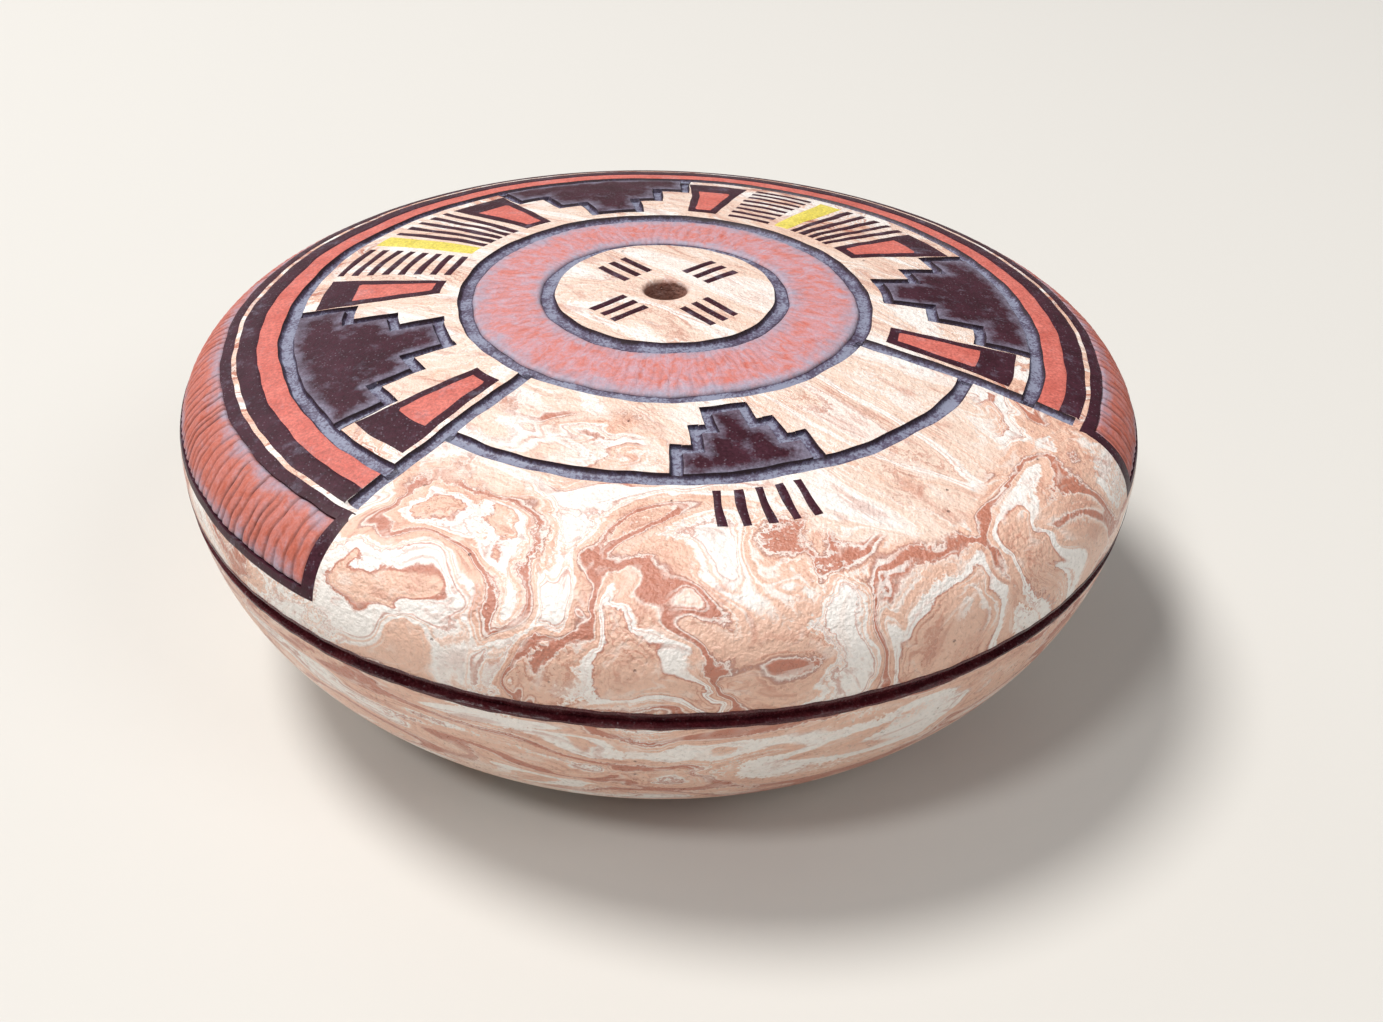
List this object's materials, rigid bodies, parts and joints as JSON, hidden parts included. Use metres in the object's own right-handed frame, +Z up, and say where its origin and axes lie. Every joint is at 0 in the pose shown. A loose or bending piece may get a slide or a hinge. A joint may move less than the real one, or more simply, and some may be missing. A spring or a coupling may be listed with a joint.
{
  "type": "seed pot",
  "caption": "Low lens-shaped clay seed pot of marbled clay, closed in to a small hole at the crown, carved and painted with coloured slips; holds seeds.",
  "frame": {"origin": "middle of the flat base, on its underside", "axes": "+Z up through the seed hole, -Y towards the bare front of the pot, +X to its right seen from the front"},
  "size_m": [0.1, 0.1, 0.0381],
  "materials": {
    "marbled_clay": "buff and red clays kneaded together, smoothed and fired, unglazed with a soft sheen",
    "dark_slip": "dark brown slip, satin",
    "rose_slip": "rose slip on chattered clay, matte",
    "red_slip": "iron red slip, matte",
    "yellow_slip": "ochre slip, matte"
  },
  "bodies": {
    "root": {"base_bowl": "marbled_clay", "upper_dome": "marbled_clay", "girdle_line": "dark_slip", "inner_ring_line": "dark_slip", "outer_ring_line": "dark_slip", "frieze_line": "dark_slip", "end_lines": "dark_slip", "front_line": "dark_slip", "terrace_lines": "dark_slip", "cloud_lines": "dark_slip", "dark_terraces": "dark_slip", "front_cloud": "dark_slip", "feather_edges": "dark_slip", "hatch_arcs": "dark_slip", "hatch_bars": "dark_slip", "rain_strokes": "dark_slip", "centre_strokes": "dark_slip", "dark_stripe": "dark_slip", "rose_band": "rose_slip", "ribbed_band": "rose_slip", "red_feathers": "red_slip", "red_stripe": "red_slip", "yellow_bars": "yellow_slip"}
  },
  "joints": []
}
